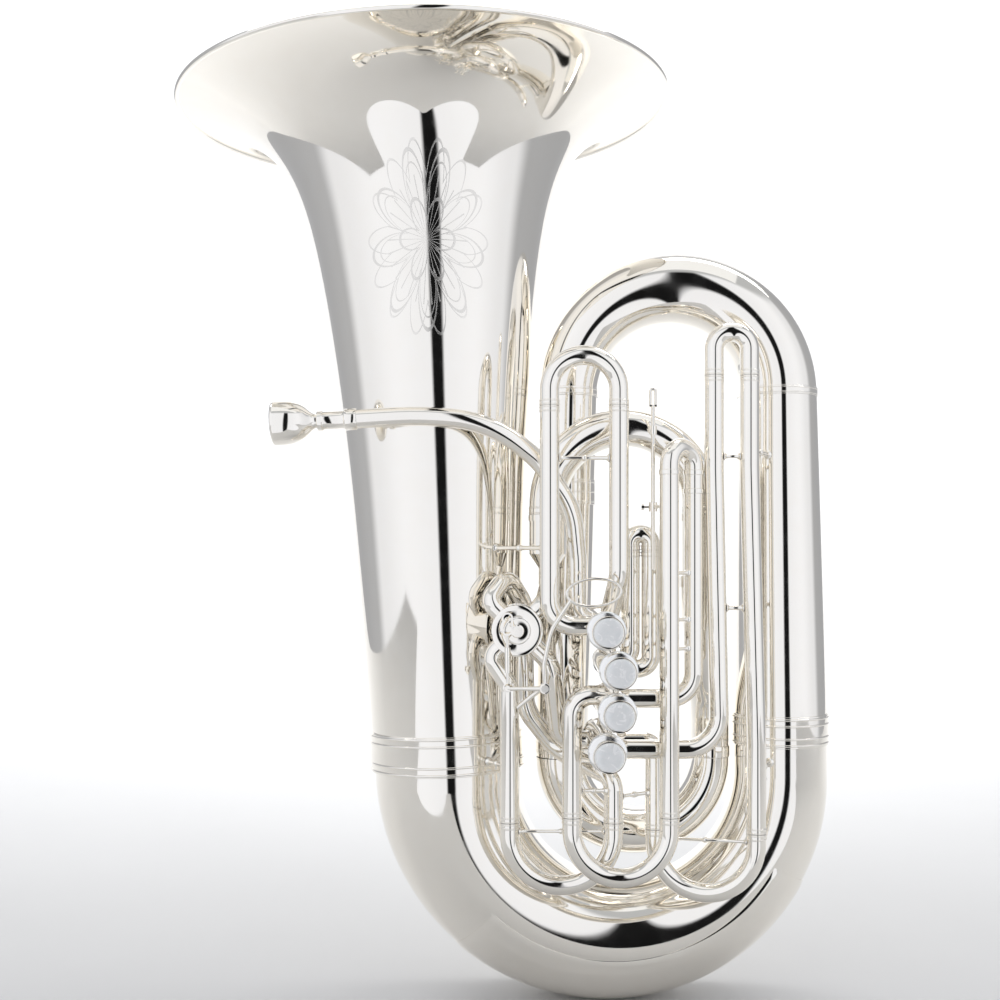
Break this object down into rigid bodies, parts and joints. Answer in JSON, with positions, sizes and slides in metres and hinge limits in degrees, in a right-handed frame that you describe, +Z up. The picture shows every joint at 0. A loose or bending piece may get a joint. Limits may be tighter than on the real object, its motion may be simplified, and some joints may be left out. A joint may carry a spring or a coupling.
{
  "type": "tuba",
  "caption": "Silver-plated tuba with a wide upright bell, front-action piston valves with pearl buttons, a thumb-operated rotary valve and sliding tuning crooks.",
  "frame": {"origin": "the flat at the bottom of the bow guard, under the middle of the bottom bow", "axes": "+Z up to the bell mouth, -Y to the side with the valves and finger buttons, the mouthpiece points to -X"},
  "size_m": [0.6758, 0.5082, 0.9383],
  "materials": {
    "silver_plate": "polished silver plate on brass",
    "pearl": "mother of pearl, polished",
    "spring_steel": "plain spring wire",
    "piston_metal": "lapped nickel alloy"
  },
  "bodies": {
    "horn": {"bell": "silver_plate", "bell_rim_bead": "silver_plate", "bell_ferrule": "silver_plate", "bottom_bow": "silver_plate", "bottom_bow_guard": "silver_plate", "bow_ferrule_right": "silver_plate", "large_branch": "silver_plate", "top_bow": "silver_plate", "top_bow_ferrules": "silver_plate", "left_branch": "silver_plate", "branch_ferrules": "silver_plate", "inner_bottom_bow": "silver_plate", "inner_branch": "silver_plate", "main_slide_sleeves": "silver_plate", "pull_rod_guide": "silver_plate", "valve_casings": "silver_plate", "valve_top_caps": "silver_plate", "valve_bottom_caps": "silver_plate", "crossover_tubes": "silver_plate", "first_slide_sleeves": "silver_plate", "second_slide_sleeves": "silver_plate", "third_slide_sleeves": "silver_plate", "fourth_slide_sleeves": "silver_plate", "fifth_slide_sleeves": "silver_plate", "rotor_casing": "silver_plate", "rotor_caps": "silver_plate", "lever_bracket": "silver_plate", "leadpipe": "silver_plate", "mouthpiece_receiver": "silver_plate", "brace_posts": "silver_plate", "valve_spring_1": "spring_steel", "valve_spring_2": "spring_steel", "valve_spring_3": "spring_steel", "valve_spring_4": "spring_steel"},
    "piston_1": {"piston_1": "piston_metal", "finger_button_1": "silver_plate", "button_pearl_1": "pearl"},
    "piston_2": {"piston_2": "piston_metal", "finger_button_2": "silver_plate", "button_pearl_2": "pearl"},
    "piston_3": {"piston_3": "piston_metal", "finger_button_3": "silver_plate", "button_pearl_3": "pearl"},
    "piston_4": {"piston_4": "piston_metal", "finger_button_4": "silver_plate", "button_pearl_4": "pearl"},
    "main_slide": {"main_tuning_slide": "silver_plate", "pull_rod": "silver_plate"},
    "first_slide": {"first_slide": "silver_plate"},
    "second_slide": {"second_slide": "silver_plate"},
    "third_slide": {"third_slide": "silver_plate"},
    "fourth_upper_slide": {"fourth_upper_slide": "silver_plate"},
    "fourth_lower_slide": {"fourth_lower_slide": "silver_plate"},
    "fifth_slide": {"fifth_slide": "silver_plate"},
    "rotor": {"rotor": "silver_plate"},
    "thumb_lever": {"thumb_lever": "silver_plate"},
    "link_rod": {"link_rod": "silver_plate"},
    "mouthpiece": {"mouthpiece": "silver_plate"}
  },
  "joints": [
    {"name": "piston_1_press", "type": "slide", "parent": "horn", "child": "piston_1", "axis": [0, 1, 0], "range_m": [0, 0.016], "stiffness_N_per_m": 120, "springref_m": -0.012, "deforming": ["valve_spring_1"]},
    {"name": "piston_2_press", "type": "slide", "parent": "horn", "child": "piston_2", "axis": [0, 1, 0], "range_m": [0, 0.016], "stiffness_N_per_m": 120, "springref_m": -0.012, "deforming": ["valve_spring_2"]},
    {"name": "piston_3_press", "type": "slide", "parent": "horn", "child": "piston_3", "axis": [0, 1, 0], "range_m": [0, 0.016], "stiffness_N_per_m": 120, "springref_m": -0.012, "deforming": ["valve_spring_3"]},
    {"name": "piston_4_press", "type": "slide", "parent": "horn", "child": "piston_4", "axis": [0, 1, 0], "range_m": [0, 0.016], "stiffness_N_per_m": 120, "springref_m": -0.012, "deforming": ["valve_spring_4"]},
    {"name": "main_slide_pull", "type": "slide", "parent": "horn", "child": "main_slide", "axis": [0, 0, 1], "range_m": [0, 0.025]},
    {"name": "first_slide_pull", "type": "slide", "parent": "horn", "child": "first_slide", "axis": [0, 0, 1], "range_m": [0, 0.08]},
    {"name": "second_slide_pull", "type": "slide", "parent": "horn", "child": "second_slide", "axis": [0, 0, 1], "range_m": [0, 0.04]},
    {"name": "third_slide_pull", "type": "slide", "parent": "horn", "child": "third_slide", "axis": [0, 0, -1], "range_m": [0, 0.055]},
    {"name": "fourth_upper_slide_pull", "type": "slide", "parent": "horn", "child": "fourth_upper_slide", "axis": [0, 0, 1], "range_m": [0, 0.06]},
    {"name": "fourth_lower_slide_pull", "type": "slide", "parent": "horn", "child": "fourth_lower_slide", "axis": [0, 0, -1], "range_m": [0, 0.05]},
    {"name": "fifth_slide_pull", "type": "slide", "parent": "horn", "child": "fifth_slide", "axis": [0, 0, -1], "range_m": [0, 0.02]},
    {"name": "mouthpiece_pull", "type": "slide", "parent": "horn", "child": "mouthpiece", "axis": [-0.9983, 0, -0.0575], "range_m": [0, 0.035]},
    {"name": "thumb_lever_turn", "type": "hinge", "parent": "horn", "child": "thumb_lever", "pos_m": [-0.075, -0.14, 0.335], "axis": [0, -1, 0], "range_deg": [0, 25], "stiffness_Nm_per_rad": 0.2, "springref_deg": -20.05},
    {"name": "rotor_turn", "type": "hinge", "parent": "horn", "child": "rotor", "pos_m": [-0.101, -0.094, 0.3875], "axis": [0, -1, 0], "range_deg": [0, 90]},
    {"name": "link_turn", "type": "hinge", "parent": "thumb_lever", "child": "link_rod", "pos_m": [-0.11, -0.13, 0.335], "axis": [0, -1, 0], "range_deg": [-25, 0]}
  ],
  "couplings": [
    {"joint": "rotor_turn", "follows": "thumb_lever_turn", "ratio": 3.6},
    {"joint": "link_turn", "follows": "thumb_lever_turn", "ratio": -1}
  ]
}
